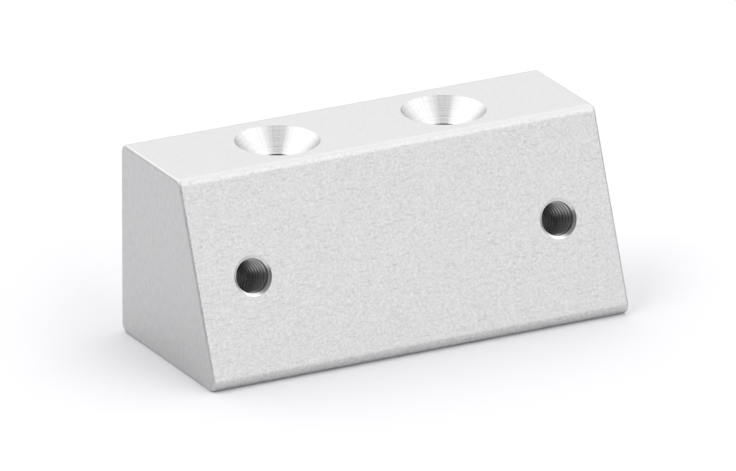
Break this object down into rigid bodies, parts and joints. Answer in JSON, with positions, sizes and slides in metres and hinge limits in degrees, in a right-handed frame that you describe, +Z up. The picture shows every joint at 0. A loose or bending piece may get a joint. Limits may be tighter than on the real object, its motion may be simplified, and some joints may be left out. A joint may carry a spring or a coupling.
{
  "type": "machined mounting block",
  "caption": "Aluminium mounting block with a sloping face: countersunk screw holes down through the top, and tapped holes square to the slope.",
  "frame": {"origin": "middle of the base, with depth measured to the sharp lower edge of the sloping face, before it is rounded", "axes": "+X along the block's length, +Y towards its upright back, +Z up"},
  "size_m": [0.06, 0.0254, 0.0255],
  "materials": {
    "aluminium": "fine matt, tumbled and clear anodised"
  },
  "bodies": {
    "root": {"mounting_block": "aluminium"}
  },
  "joints": []
}
